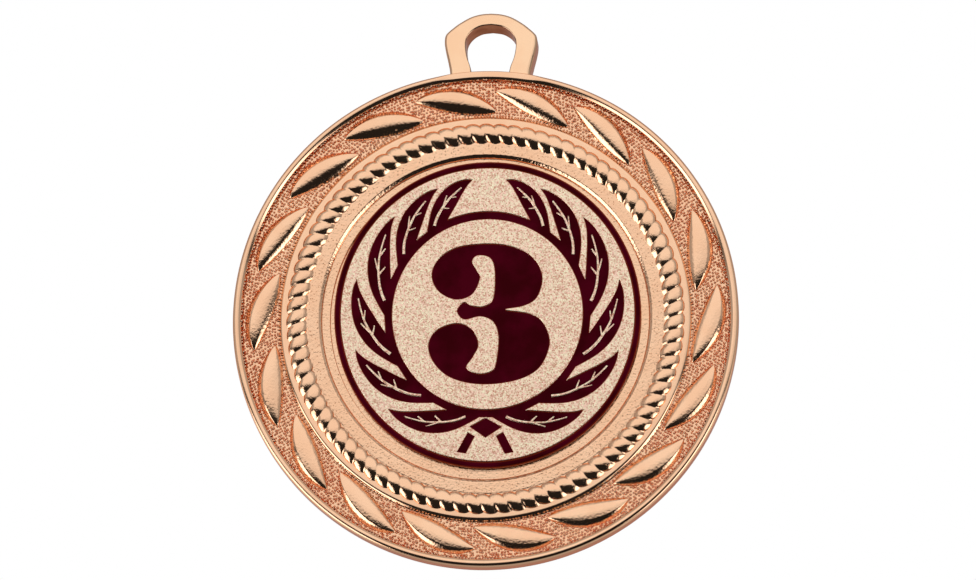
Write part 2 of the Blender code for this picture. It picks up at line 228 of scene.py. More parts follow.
NUMERAL = ((1.46, 0.42), (2.90, 0.68), (3.90, 1.32), (4.34, 2.76), (3.94, 4.04), (2.90, 5.00), (1.14, 5.54),
           (-1.02, 5.56), (-2.78, 5.20), (-4.06, 4.28), (-4.48, 3.00), (-3.90, 1.80), (-2.56, 1.16),
           (-1.26, 1.56), (-0.64, 2.84), (-0.94, 3.56), (-1.28, 4.20), (-0.86, 4.68), (0.10, 4.52),
           (0.50, 3.72), (0.56, 2.20), (0.38, 1.08), (-0.30, 0.60), (-1.18, 0.64), (-1.90, 0.92),
           (-2.42, 0.25), (-1.85, -0.42), (-0.55, -0.18), (0.46, -0.60), (0.90, -1.70), (0.82, -3.40),
           (0.50, -4.44), (-0.54, -4.76), (-1.60, -4.30), (-1.10, -3.40), (-0.68, -2.40), (-1.26, -1.16),
           (-2.56, -0.76), (-4.14, -1.40), (-4.66, -2.60), (-4.14, -3.96), (-2.94, -5.00), (-1.10, -5.52),
           (1.06, -5.50), (3.06, -5.00), (4.34, -4.04), (4.98, -2.30), (4.50, -0.76), (3.46, 0.00),
           (1.46, 0.30))
KNOT = ((-1.26, -8.94), (0.02, -8.22), (1.29, -8.94), (0.0, -9.80))
STEM = ((1.42, -9.36), (0.84, -9.68), (1.54, -11.05), (2.26, -10.93))


# ------------------------ points and curves

def on_disc(across, up, height):
    """Points from distances across and up from the disc's centre, and heights; x, y, z is the last axis."""
    across, up, height = np.broadcast_arrays(across, up, height)
    return np.stack([across, BACK_Y - height, DISC_CENTRE_UP + up], axis=-1)


def round_disc(radius, turn, height):
    """Points at a radius and a turn about the disc's centre: across = r cos t, up = r sin t."""
    return on_disc(radius * np.cos(turn), radius * np.sin(turn), height)


def on_emblem(outline):
    """Stretch and turn an outline with the emblem and move it to the emblem's place on the disc."""
    cos, sin = math.cos(EMBLEM_TURN), math.sin(EMBLEM_TURN)
    turned = np.multiply(outline, EMBLEM_STRETCH) @ np.array([[cos, sin], [-sin, cos]])
    return turned + EMBLEM_CENTRE + EMBLEM_SHIFT


def smooth_through(points, steps):
    """A Catmull-Rom curve: on each span a cubic of its ends and of the slopes between their neighbours."""
    knots = np.array(points, dtype=float)
    padded = np.vstack([2 * knots[:1] - knots[1:2], knots, 2 * knots[-1:] - knots[-2:-1]])
    t = (np.arange(steps) / steps)[None, :, None]
    spans = (padded[:-3], padded[1:-2], padded[2:-1], padded[3:])
    before, start, end, after = (part[:, None, :] for part in spans)
    curve = 0.5 * (2 * start + (end - before) * t + (2 * before - 5 * start + 4 * end - after) * t ** 2
                   + (3 * start - before - 3 * end + after) * t ** 3)
    return np.vstack([curve.reshape(-1, knots.shape[1]), knots[-1:]])


def evenly_spaced(curve, count):
    """The same curve with its points at equal distances along it."""
    steps = np.linalg.norm(np.diff(curve, axis=0), axis=1)
    distance = np.concatenate([[0.0], np.cumsum(steps)])
    at = np.linspace(0.0, distance[-1], count)
    return np.column_stack([np.interp(at, distance, column) for column in curve.T])


def rounded(corners, roundings, steps=6):
    """An open polyline whose inner corners are replaced by quadratic arcs that start `rounding` before each.

    A further point a little outside each end of an arc keeps the straight sides flat when they are shaded.
    Neither goes past a fixed share of its side, just under half.
    """
    arc_share, support_share = 0.45, 0.48
    corners = np.array(corners, dtype=float)
    t = np.linspace(0.0, 1.0, steps)[:, None]
    rows = [corners[:1]]
    for before, corner, after, rounding in zip(corners[:-2], corners[1:-1], corners[2:], roundings):
        back, forth = np.linalg.norm(before - corner), np.linalg.norm(after - corner)
        start = corner + (before - corner) * min(arc_share, rounding / back)
        end = corner + (after - corner) * min(arc_share, rounding / forth)
        arc = (1 - t) ** 2 * start + 2 * t * (1 - t) * corner + t ** 2 * end
        further = rounding + ROUNDING_SUPPORT
        ahead = corner + (before - corner) * min(support_share, further / back)
        behind = corner + (after - corner) * min(support_share, further / forth)
        rows.append(np.vstack([ahead, arc, behind]))
    rows.append(corners[-1:])
    return np.vstack(rows)


def circle(radius, count):
    """A round outline, anticlockwise."""
    turn = np.linspace(0.0, 2 * math.pi, count, endpoint=False)
    return np.column_stack([radius * np.cos(turn), radius * np.sin(turn)])


def with_mirror_image(half):
    """A line that ends on the middle line, carried on along its mirror image back to the other side."""
    return np.vstack([half, half[-2::-1] * (-1, 1)])


# ------------------------ meshes

def grid_faces(rows, columns, wrap_rows=False, wrap_columns=False):
    """Quads between neighbouring points of a grid, which may close on itself in either direction."""
    i = np.arange(rows if wrap_rows else rows - 1)[:, None]
    j = np.arange(columns if wrap_columns else columns - 1)[None, :]
    next_i = (i + 1) % rows
    next_j = (j + 1) % columns
    corners = (i * columns + j, next_i * columns + j, next_i * columns + next_j, i * columns + next_j)
    shape = (i.size, j.size)
    return np.stack([np.broadcast_to(corner, shape) for corner in corners], axis=-1).reshape(-1, 4)


def pole_faces(ring_start, columns, pole):
    """Triangles from a closed ring of points to one point."""
    j = np.arange(columns)
    return np.column_stack([ring_start + j, ring_start + (j + 1) % columns, np.full(columns, pole)])


def signed_volume(points, quads, triangles):
    """Six times the volume that the faces enclose, positive where they face out."""
    split = np.vstack([triangles.reshape(-1, 3), quads[:, [0, 1, 2]], quads[:, [0, 2, 3]]])
    first, second, third = points[split[:, 0]], points[split[:, 1]], points[split[:, 2]]
    return np.einsum("ij,ij->", first, np.cross(second, third))


def make_piece(name, points, quads, triangles, material, slot, nodes, sharp=40.0, edge_share=None):
    """Put arrays of points and faces into a mesh object that stands for CAD nodes and faces outwards.

    Edges that turn by more than `sharp` degrees are shaded as edges. `edge_share` is a number per point
    that the material can read, such as 1 on an outline and 0 inside it.
    """
    points = points.reshape(-1, 3) * MILLIMETRE
    quads = np.asarray(quads, dtype=np.int32).reshape(-1, 4)
    triangles = np.asarray(triangles, dtype=np.int32).reshape(-1, 3)
    if signed_volume(points - points.mean(axis=0), quads, triangles) < 0:
        quads, triangles = quads[:, ::-1], triangles[:, ::-1]
    corners = np.concatenate([quads.ravel(), triangles.ravel()]).astype(np.int32)
    quad_starts = np.arange(len(quads)) * 4
    triangle_starts = len(quads) * 4 + np.arange(len(triangles)) * 3
    mesh = bpy.data.meshes.new(name)
    mesh.vertices.add(len(points))
    mesh.vertices.foreach_set("co", points.astype(np.float32).ravel())
    mesh.loops.add(len(corners))
    mesh.loops.foreach_set("vertex_index", corners)
    mesh.polygons.add(len(quads) + len(triangles))
    mesh.polygons.foreach_set("loop_start", np.concatenate([quad_starts, triangle_starts]).astype(np.int32))
    mesh.update(calc_edges=True)
    mesh.validate()
    mesh.shade_smooth()
    mesh.set_sharp_from_angle(angle=math.radians(sharp))
    mesh.materials.append(material)
    if edge_share is not None:
        attribute = mesh.attributes.new("edge_share", "FLOAT", "POINT")
        attribute.data.foreach_set("value", edge_share.astype(np.float32))
    piece = bpy.data.objects.new(name, mesh)
    bpy.context.collection.objects.link(piece)
    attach(piece, "root")
    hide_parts(*nodes)


def closed_tube(grid):
    """Points and faces of a grid whose columns close on themselves and whose end rows each meet in a pole."""
    rows, columns = grid.shape[:2]
    points = np.vstack([grid.reshape(-1, 3), grid[0].mean(axis=0), grid[-1].mean(axis=0)])
    triangles = np.vstack([pole_faces(0, columns, rows * columns),
                           pole_faces((rows - 1) * columns, columns, rows * columns + 1)[:, ::-1]])
    return points, grid_faces(rows, columns, wrap_columns=True)[:, ::-1], triangles


def joined(parts):
    """Many (points, quads, triangles) as one, with the faces' numbers moved on for each."""
    starts = np.cumsum([0] + [len(points) for points, _, _ in parts[:-1]])
    points = np.vstack([part[0] for part in parts])
    quads = np.vstack([part[1] + start for part, start in zip(parts, starts)])
    triangles = np.vstack([part[2].reshape(-1, 3) + start for part, start in zip(parts, starts)])
    return points, quads, triangles


def left_normals(outline):
    """Unit normals of a closed outline, pointing to its left, from the direction between its neighbours."""
    along = np.roll(outline, -1, axis=0) - np.roll(outline, 1, axis=0)
    normal = np.column_stack([-along[:, 1], along[:, 0]])
    return normal / np.maximum(np.linalg.norm(normal, axis=1), 1e-9)[:, None]


def anticlockwise(outline, wanted=True):
    """The outline, reversed if it doesn't run anticlockwise, or if it does where that isn't wanted."""
    following = np.roll(outline, -1, axis=0)
    area = np.sum(outline[:, 0] * following[:, 1] - outline[:, 1] * following[:, 0])
    return outline if (area > 0) == wanted else outline[::-1]


def next_points(starts):
    """The number of the point that follows each one, for closed outlines kept one after another."""
    return np.concatenate([np.roll(np.arange(a, b), -1) for a, b in zip(starts[:-1], starts[1:])])


def filling(flat, starts):
    """Triangles, seen anticlockwise, that fill the area between closed outlines kept one after another.

    They are the Delaunay triangles that hold every side of the outlines, kept where a line drawn from a
    triangle's middle to the right crosses the outlines an odd number of times. Where outlines cross, the
    crossings are new points, numbered after the given ones. Returns those points and the triangles.
    """
    following = next_points(starts)
    sides = np.column_stack([np.arange(len(flat)), following]).tolist()
    found = delaunay_2d_cdt([Vector(point) for point in flat], sides, [], 0, SAME_POINT)
    origin = np.array([sources[0] if sources else -1 for sources in found[3]])
    new = np.flatnonzero(origin < 0)
    origin[new] = len(flat) + np.arange(len(new))
    crossings = np.array([found[0][index] for index in new]).reshape(-1, 2)
    points = np.vstack([flat, crossings])
    fill = origin[np.array(found[2])]
    x, y = points[fill].mean(axis=1).T[:, :, None]
    (x1, y1), (x2, y2) = flat.T, flat[following].T
    slope = (x2 - x1) / np.where(y2 == y1, 1.0, y2 - y1)
    crossed = ((y1 > y) != (y2 > y)) & (x < x1 + slope * (y - y1))
    fill = fill[crossed.sum(axis=1) % 2 == 1]
    corner = points[fill]
    area = np.cross(corner[:, 1] - corner[:, 0], corner[:, 2] - corner[:, 0])
    return crossings, np.where((area > 0)[:, None], fill, fill[:, ::-1])


def relief(loops, edge):
    """A flat plate with a shaped edge along all its outlines, the first outer and the others holes.

    `edge` lists (distance into the plate, height) from the bottom to the top. Each outline is moved
    into the plate along its normals by that distance, the steps are joined by quads, and the lowest
    and the highest are filled in with triangles.
    """
    loops = [anticlockwise(loops[0])] + [anticlockwise(hole, wanted=False) for hole in loops[1:]]
    flat = np.vstack(loops)
    shift = np.vstack([left_normals(loop) for loop in loops])
    levels = [on_disc(flat[:, 0] + shift[:, 0] * into, flat[:, 1] + shift[:, 1] * into, height)
              for into, height in edge]
    points = np.vstack(levels)
    total = len(flat)
    starts = np.cumsum([0] + [len(loop) for loop in loops])
    following = next_points(starts)
    here = np.arange(total)
    quads = np.vstack([np.column_stack([here, following, following + total, here + total]) + level * total
                       for level in range(len(edge) - 1)])
    triangles = []
    for level, turned in ((0, slice(None, None, -1)), (len(edge) - 1, slice(None))):
        into, height = edge[level]
        crossings, fill = filling(flat + shift * into, starts)
        triangles.append(np.where(fill < total, fill + level * total, fill - total + len(points))[:, turned])
        points = np.vstack([points, on_disc(crossings[:, 0], crossings[:, 1], height)])
    return points, quads, np.vstack(triangles)


# ------------------------ materials

def feed(tree, item, inputs):
    """Link or set a node's inputs."""
    for key, value in inputs.items():
        if isinstance(value, bpy.types.NodeSocket):
            tree.links.new(value, item.inputs[key])
        else:
            item.inputs[key].default_value = value


def add(tree, kind, inputs=None, **properties):
    """Add a node, set its properties, and feed its inputs."""
    item = tree.nodes.new(kind)
    for key, value in properties.items():
        setattr(item, key, value)
    feed(tree, item, inputs or {})
    return item


def shared_effect(name, inputs, outputs):
    """A shader node group with named inputs and outputs, all plain numbers, ready to be filled."""
    tree = bpy.data.node_groups.new(name, "ShaderNodeTree")
    for label, default in inputs.items():
        socket = tree.interface.new_socket(label, in_out="INPUT", socket_type="NodeSocketFloat")
        socket.default_value = default
    for label in outputs:
        tree.interface.new_socket(label, in_out="OUTPUT", socket_type="NodeSocketFloat")
    return tree, tree.nodes.new("NodeGroupInput"), tree.nodes.new("NodeGroupOutput")


def math_node(tree, operation, first, *others):
    """Arithmetic that takes in its numbers one after another; returns the result."""
    for other in others or (0.0,):
        first = add(tree, "ShaderNodeMath", {0: first, 1: other}, operation=operation).outputs[0]
    return first


def times(tree, *factors):
    """The factors multiplied together."""
    return math_node(tree, "MULTIPLY", *factors)


def plus(tree, *terms):
    """The terms added up."""
    return math_node(tree, "ADD", *terms)


def noise(tree, place, scale, detail):
    """The value of a cloudy noise."""
    return add(tree, "ShaderNodeTexNoise", {"Vector": place, "Scale": scale, "Detail": detail}).outputs["Fac"]


def ramp(tree, value, low, high, bottom=0.0, top=1.0):
    """Smoothly map a value between two limits."""
    inputs = {"Value": value, "From Min": low, "From Max": high, "To Min": bottom, "To Max": top}
    return add(tree, "ShaderNodeMapRange", inputs, interpolation_type="SMOOTHSTEP").outputs["Result"]


def plated_skin_effect():
    """Skin of plated die-cast metal: a cloudy tone, orange peel, sparse pits and fine rub marks.

    The last output is a mask of the seat, the front inside the rope, where there are more pits.
    """
    tree, given, result = shared_effect("plated_skin",
                                        {"Peel Scale": 5000.0, "Pit Scale": 4200.0, "Pit Share": 0.3},
                                        ("Tone", "Peel", "Pits", "Rubbing", "Seat"))
    place = add(tree, "ShaderNodeTexCoord").outputs["Object"]
    clouds = noise(tree, place, 420.0, 4.0)
    peel = noise(tree, place, given.outputs["Peel Scale"], 3.0)
    cells = add(tree, "ShaderNodeTexVoronoi", {"Vector": place, "Scale": given.outputs["Pit Scale"]})
    patches = noise(tree, place, 900.0, 2.0)
    from_centre = add(tree, "ShaderNodeVectorMath", {0: place, 1: (0.0, 0.0, -DISC_CENTRE_UP * MILLIMETRE)},
                      operation="ADD").outputs[0]
    spread = add(tree, "ShaderNodeSeparateXYZ", {0: from_centre})
    squares = [math_node(tree, "POWER", spread.outputs[axis], 2.0) for axis in (0, 2)]
    radius = math_node(tree, "SQRT", plus(tree, *squares))
    inside = ramp(tree, radius, SEAT_MASK_OUTER * MILLIMETRE, SEAT_MASK_INNER * MILLIMETRE)
    in_front = math_node(tree, "LESS_THAN", spread.outputs[1], (BACK_Y - SEAT_MASK_HEIGHT) * MILLIMETRE)
    seat = times(tree, inside, in_front)
    share = plus(tree, given.outputs["Pit Share"], times(tree, seat, SEAT_PIT_SHARE))
    few = math_node(tree, "LESS_THAN", cells.outputs["Color"], share)
    dots = ramp(tree, cells.outputs["Distance"], 0.30, 0.12)
    patchy = math_node(tree, "MAXIMUM", ramp(tree, patches, 0.40, 0.62), times(tree, seat, 0.8))
    turned = add(tree, "ShaderNodeMapping",
                 {"Vector": place, "Rotation": (0.0, 0.6, 0.0), "Scale": (9.0, 9.0, 0.25)}).outputs[0]
    rubs = noise(tree, turned, 900.0, 2.0)
    feed(tree, result, {"Tone": clouds, "Peel": peel, "Pits": times(tree, dots, few, patchy),
                        "Rubbing": ramp(tree, rubs, 0.58, 0.78), "Seat": seat})
    return tree


def frost_effect():
    """Frosted foil: fine grain and facets, which give a brightness, a tint and a height."""
    tree, given, result = shared_effect("frosted_facets", {"Facet Scale": 9500.0},
                                        ("Brightness", "Tint", "Height"))
    place = add(tree, "ShaderNodeTexCoord").outputs["Object"]
    scale = given.outputs["Facet Scale"]
    fine = add(tree, "ShaderNodeTexNoise", {"Vector": place, "Scale": scale, "Detail": 2.0, "Roughness": 0.7})
    facets = add(tree, "ShaderNodeTexVoronoi", {"Vector": place, "Scale": scale})
    parts = add(tree, "ShaderNodeSeparateColor", {"Color": facets.outputs["Color"]})
    blend = plus(tree, times(tree, fine.outputs["Fac"], 0.6),
                      times(tree, parts.outputs["Red"], 0.4))
    feed(tree, result, {"Brightness": blend, "Tint": parts.outputs["Green"], "Height": fine.outputs["Fac"]})
    return tree


def new_material(name):
    """An empty material; returns it with its tree and its Principled shader."""
    material = bpy.data.materials.new(name)
    material.use_nodes = True
    tree = material.node_tree
    return material, tree, tree.nodes["Principled BSDF"]


def mixed(tree, factor, first, second):
    """A mix of two colours; the node's colour sockets are its inputs 6 and 7 and its output 2."""
    return add(tree, "ShaderNodeMix", {0: factor, 6: first, 7: second}, data_type="RGBA").outputs[2]


def bumped(tree, height, depth):
    """The normal of a surface bumped by a height, of which 1 stands for `depth` millimetres."""
    inputs = {"Height": height, "Strength": 1.0, "Distance": depth * MILLIMETRE}
    return add(tree, "ShaderNodeBump", inputs).outputs["Normal"]


def plated_bronze(name, colours, roughness, peel_height, pit_share, skin, shade_colour=None):
    """Polished bronze plating over a casting, with the shared skin effect; `colours` are bright and deep.

    Where the piece has an edge share, its colour goes over to the shade colour there: painted shade.
    """
    material, tree, shader = new_material(name)
    bright, deep = colours
    effect = add(tree, "ShaderNodeGroup", {"Pit Share": pit_share}, node_tree=skin).outputs
    tone = mixed(tree, ramp(tree, effect["Tone"], 0.35, 0.65), deep, bright)
    colour = mixed(tree, effect["Pits"], tone, (0.56, 0.27, 0.14, 1.0))
    if shade_colour is not None:
        # Painted shade: the edge share darkens the colour towards the shade colour, a little unevenly.
        edge = add(tree, "ShaderNodeAttribute", attribute_name="edge_share").outputs["Fac"]
        shade_share = times(tree, edge, ramp(tree, effect["Tone"], 0.30, 0.60, 0.65, 1.0))
        colour = mixed(tree, shade_share, colour, shade_colour)
    rough = plus(tree, ramp(tree, effect["Tone"], 0.3, 0.7, roughness * 0.85, roughness * 1.2),
                      times(tree, effect["Rubbing"], 0.05))
    rougher = plus(tree, 1.0, times(tree, effect["Seat"], SEAT_PEEL))
    height = math_node(tree, "SUBTRACT", times(tree, effect["Peel"], rougher),
                       times(tree, effect["Pits"], 0.9))
    feed(tree, shader, {"Base Color": colour, "Roughness": rough, "Normal": bumped(tree, height, peel_height),
                        "Metallic": 1.0, "Specular Tint": (0.92, 0.52, 0.42, 1.0)})
    return material


def frosted_gold(frost):
    """The stamped plate: pale gold foil whose facets glint cream, pink and tan."""
    material, tree, shader = new_material("frosted_gold_plate")
    effect = add(tree, "ShaderNodeGroup", node_tree=frost).outputs
    tan, pink, cream = (0.70, 0.34, 0.23, 1.0), (1.0, 0.64, 0.52, 1.0), (1.0, 0.94, 0.66, 1.0)
    warm = mixed(tree, effect["Tint"], pink, cream)
    colour = mixed(tree, ramp(tree, effect["Brightness"], 0.28, 0.51), tan, warm)
    rough = ramp(tree, effect["Brightness"], 0.3, 0.7, 0.40, 0.26)
    feed(tree, shader, {"Base Color": colour, "Roughness": rough, "Metallic": 1.0,
                        "Normal": bumped(tree, effect["Height"], 0.010)})
    return material


def burgundy_lacquer(skin):
    """Glossy dark burgundy with clouds of a lighter one, going over to brown where it thins at the edges."""
    material, tree, shader = new_material("burgundy_lacquer")
    effect = add(tree, "ShaderNodeGroup", {"Peel Scale": 1500.0, "Pit Share": 0.04}, node_tree=skin).outputs
    dark, light, brown = (0.010, 0.0001, 0.0012, 1.0), (0.042, 0.0002, 0.0060, 1.0), (0.26, 0.035, 0.008, 1.0)
    colour = mixed(tree, ramp(tree, effect["Tone"], 0.35, 0.65), dark, light)
    edge = add(tree, "ShaderNodeAttribute", attribute_name="edge_share").outputs["Fac"]
    thinned = mixed(tree, ramp(tree, edge, 0.15, 1.0), colour, brown)
    rough = ramp(tree, effect["Tone"], 0.3, 0.7, 0.16, 0.24)
    feed(tree, shader, {"Base Color": thinned, "Roughness": rough, "IOR": 1.38,
                        "Normal": bumped(tree, effect["Peel"], 0.004),
                        "Specular Tint": (1.0, 0.03, 0.08, 1.0)})
    return material


def foam_pad(skin):
    """The edge of the adhesive pad under the emblem: off-white foam."""
    material, tree, shader = new_material("foam_adhesive")
    effect = add(tree, "ShaderNodeGroup", {"Peel Scale": 9000.0}, node_tree=skin)
    colour = mixed(tree, effect.outputs["Peel"], (0.55, 0.54, 0.50, 1.0), (0.80, 0.79, 0.75, 1.0))
    feed(tree, shader, {"Base Color": colour, "Roughness": 0.85})
    return material


# ------------------------ the casting

def medal_body(material):
    """The disc turned from one profile: points (r, h) swept round the centre, closed by two poles.

    Near the eyelet the profile passes smoothly into one with a broad flat rim and a full back edge, the
    collar of its feet.
    """
    common = rounded(BACK_PROFILE + RIM_PROFILE + FRONT_PROFILE, PROFILE_ROUNDINGS)[:, None]
    at_eyelet = rounded(BACK_PROFILE + COLLAR_PROFILE + FRONT_PROFILE, PROFILE_ROUNDINGS)[:, None]
    turn = np.linspace(0.0, 2 * math.pi, DISC_STEPS, endpoint=False)
    from_top = np.abs(turn - math.pi / 2) * MEDAL_RADIUS
    share = np.clip((COLLAR_REACH - from_top) / COLLAR_FADE, 0.0, 1.0)[None, :, None]
    share = share ** 2 * (3 - 2 * share)
    profile = common + share * (at_eyelet - common)
    disc = closed_tube(round_disc(profile[..., 0], turn[None, :], profile[..., 1]))
    make_piece("casting_body", *disc, material, "bronze_plating", ["medal_casting"], sharp=60.0)


def rope_ring(material):
    """The rope: an oval section swept round, pinched where a strand meets the next.

    The phase of the strands grows with the turn and with the angle round the section, which slants
    them. Across one strand the section's size falls with a power of the distance from its middle, so
    the strands are soft pillows and meet in creases.
    """
    turn = np.linspace(0.0, 2 * math.pi, ROPE_STRANDS * ROPE_STRAND_STEPS, endpoint=False)[:, None]
    section = np.concatenate([np.linspace(-ROPE_ARC_PAST, math.pi + ROPE_ARC_PAST, 30),
                              np.linspace(math.pi + ROPE_ARC_SHORT, 2 * math.pi - ROPE_ARC_SHORT, 4)])
    phase = ROPE_STRANDS * turn / (2 * math.pi) + ROPE_TWIST * section[None, :] / math.pi
    across_strand = 2 * (phase - np.round(phase))
    size = 1 - ROPE_GROOVE_DEPTH * np.abs(across_strand) ** ROPE_GROOVE_POWER
    radius = ROPE_CENTRE_RADIUS + ROPE_HALF_WIDTH * size * np.cos(section)
    peaked = np.sign(np.sin(section)) * np.abs(np.sin(section)) ** ROPE_PEAK
    height = BAND_HEIGHT - ROPE_SINK + ROPE_RISE * size * peaked
    quads = grid_faces(turn.size, section.size, wrap_rows=True, wrap_columns=True)
    make_piece("rope_ring", round_disc(radius, turn, height), quads, [], material, "bronze_plating",
               ["medal_casting"], sharp=80.0)


def leaf_middle(along):
    """How far a border leaf's middle line lies outside the leaves' circle: a lean and a shallow bow."""
    return LEAF_OFFSET + LEAF_LEAN * along + LEAF_BOW * (1 - along ** 2)


def leaf_half_width(along):
    """Half the width of a border leaf, falling to nothing at both tips by a power of 1 - along squared."""
    return LEAF_HALF_WIDTH * np.maximum(1 - along ** 2, 0.0) ** LEAF_WIDTH_POWER


def border_leaves(material):
    """Domed leaves: a section scaled along a leaning, bowed middle line, then repeated round the disc.

    Along a leaf the width and the height fall to nothing at both tips, the height later and more steeply.
    """
    along = -np.cos(np.linspace(LEAF_TIP_CUT, math.pi - LEAF_TIP_CUT, LEAF_STEPS))[:, None]
    across, rise = np.vstack([smooth_through(LEAF_SECTION, 4), LEAF_UNDERSIDE]).T[:, None]
    fall = np.maximum(1 - np.abs(along) ** LEAF_FALL_INNER_POWER, 0.0) ** LEAF_FALL_OUTER_POWER
    height = GROUND_HEIGHT + rise * np.where(rise > 0, fall, 1.0)
    radius = LEAF_CENTRE_RADIUS + leaf_middle(along) + across * leaf_half_width(along)
    sideways = (LEAF_CENTRE_SHIFT + LEAF_HALF_LENGTH * along) / LEAF_CENTRE_RADIUS
    parts = [closed_tube(round_disc(radius, LEAF_FIRST_ANGLE + index * LEAF_SPACING + sideways, height))
             for index in range(LEAF_COUNT)]
    make_piece("border_leaves", *joined(parts), material, "bronze_plating", ["medal_casting"], sharp=80.0)


def under_a_leaf(radius, turn):
    """True where a point of the ground lies inside a border leaf."""
    covered = np.zeros(radius.shape, dtype=bool)
    for neighbour in (-1, 0, 1):
        local = ((turn - LEAF_FIRST_ANGLE + LEAF_SPACING / 2) % LEAF_SPACING - LEAF_SPACING / 2
                 + neighbour * LEAF_SPACING)
        along = (local * LEAF_CENTRE_RADIUS - LEAF_CENTRE_SHIFT) / LEAF_HALF_LENGTH
        offset = np.abs(radius - LEAF_CENTRE_RADIUS - leaf_middle(along))
        covered |= (np.abs(along) < 1) & (offset < leaf_half_width(along) - PEBBLE_OVERLAP)
    return covered


def pebbled_ground(material):
    """Small domes in uneven rows over the ground between the leaves, each on a jittered polar grid point.

    A dome is three rings of points between one below it and one on its top. The last row stands at the
    foot of the rim, and its domes are larger.
    """
    chance = np.random.default_rng(3)
    rows = np.arange(PEBBLE_FIRST_ROW, PEBBLE_LAST_ROW, PEBBLE_PITCH * PEBBLE_ROW_SHARE)
    rows = np.append(rows, RIM_ROW)
    counts = (2 * math.pi * rows / PEBBLE_PITCH).astype(int)
    radius = np.repeat(rows, counts)
    turn = np.concatenate([(np.arange(count) + 0.5 * (number % 2)) * 2 * math.pi / count
                           for number, count in enumerate(counts)])
    jitter = PEBBLE_JITTER * PEBBLE_PITCH
    radius = radius + chance.normal(0.0, jitter, radius.shape)
    turn = turn + chance.normal(0.0, jitter, turn.shape) / radius
    size = chance.uniform(*PEBBLE_SIZES, radius.shape)
    size[-counts[-1]:] *= RIM_PEBBLE_SIZE
    open_ground = ~under_a_leaf(radius, turn)
    radius, turn, size = radius[open_ground], turn[open_ground], size[open_ground]
    sides = np.arange(PEBBLE_SIDES) * 2 * math.pi / PEBBLE_SIDES
    rings = np.array(PEBBLE_RINGS)[None, :, None]
    width = PEBBLE_RADIUS * size[:, None, None] * rings[..., 0]
    rise = PEBBLE_RISE * size * np.where(radius > RIM_RISE_START, RIM_PEBBLE_STRETCH, 1.0)
    height = GROUND_HEIGHT + rise[:, None, None] * rings[..., 1]
    domes = round_disc(radius[:, None, None] + width * np.cos(sides),
                       turn[:, None, None] + width * np.sin(sides) / radius[:, None, None], height)
    undersides = round_disc(radius, turn, GROUND_HEIGHT + PEBBLE_UNDERSIDE * rise)
    tops = round_disc(radius, turn, GROUND_HEIGHT + rise)
    points = np.concatenate([domes.reshape(len(size), -1, 3), undersides[:, None], tops[:, None]], axis=1)
    starts = (np.arange(len(size)) * points.shape[1])[:, None, None]
    last_ring = (len(PEBBLE_RINGS) - 1) * PEBBLE_SIDES
    underside = last_ring + PEBBLE_SIDES
    quads = grid_faces(len(PEBBLE_RINGS), PEBBLE_SIDES, wrap_columns=True)[:, ::-1][None] + starts
    poles = np.vstack([pole_faces(0, PEBBLE_SIDES, underside),
                       pole_faces(last_ring, PEBBLE_SIDES, underside + 1)[:, ::-1]])[None] + starts
    make_piece("ground_pebbles", points, quads, poles, material, "bronze_plating", ["medal_casting"],
               sharp=180.0)


def eyelet(material):
    """The eyelet: a rounded rectangle between an inner and an outer line, carried from foot to foot.

    Each arc of the section has a further point beside each of its ends, which keeps the flat sides flat
    when they are shaded. The edge share, which the material turns into painted shade on the side walls,
    is high on the side of the hole and lower on the outer side.
    """
    outer, inner = (evenly_spaced(with_mirror_image(smooth_through(line, 12)), EYELET_STEPS)
                    for line in (EYELET_OUTER, EYELET_HOLE))
    width = np.linalg.norm(outer - inner, axis=1)[:, None]
    angle = np.linspace(0.0, math.pi / 2, EYELET_ARC_STEPS)
    angle = np.concatenate([angle[:1], angle, angle[-1:]])
    angles = np.concatenate([angle + quarter * math.pi / 2 for quarter in range(4)])[None, :]
    outer_side = np.repeat([1.0, 0.0, 0.0, 1.0], angle.size)[None, :]
    front_side = np.repeat([1.0, 1.0, -1.0, -1.0], angle.size)[None, :]
    rounding = np.where(outer_side > 0, EYELET_OUTER_ROUNDING, EYELET_HOLE_ROUNDING)
    distance = outer_side * (width - 2 * rounding) + rounding * (1 + np.cos(angles))
    height = THICKNESS / 2 + front_side * (EYELET_THICKNESS / 2 - rounding) + rounding * np.sin(angles)
    beside = np.tile([-EYELET_SUPPORT] + [0.0] * EYELET_ARC_STEPS + [EYELET_SUPPORT], 4)[None, :]
    distance = distance - beside * np.sin(angles)
    height = height + beside * np.cos(angles)
    position = inner[:, None, :] + (outer - inner)[:, None, :] * (distance / width)[:, :, None]
    grid = on_disc(position[..., 0], position[..., 1], height)
    # Painted shade on the side walls, none on the front and back faces: strongest on the hole's wall, weaker
    # outside.
    on_hole = (1 - outer_side) * np.clip(EYELET_HOLE_SHADE * np.cos(angles) ** 2, 0.0, 1.0)
    on_outside = outer_side * EYELET_OUTER_SHADE * np.cos(angles) ** 2
    edge_share = np.append(np.broadcast_to(on_hole + on_outside, distance.shape).ravel(), [0.0, 0.0])
    make_piece("ribbon_eyelet", *closed_tube(grid), material, "bronze_plating", ["medal_casting"],
               sharp=60.0, edge_share=edge_share)


# ------------------------ the emblem

def edge_shares(loops, by_level, points):
    """The edge share of each point that `relief` makes, from one value per level of its edge."""
    shares = np.repeat(by_level, sum(len(loop) for loop in loops))
    return np.append(shares, np.full(len(points) - len(shares), by_level[-1]))


def wreath_leaf_line(points, root, tip, steps, side):
    """A line of a wreath leaf, from (share of the way, radius) to flat points.

    `side` is -1 on the left and 1 on the right.
    """
    line = smooth_through(points, steps)
    turn = np.radians(root + line[:, 0] * (tip - root))
    return np.column_stack([side * line[:, 1] * np.sin(turn), -line[:, 1] * np.cos(turn)])


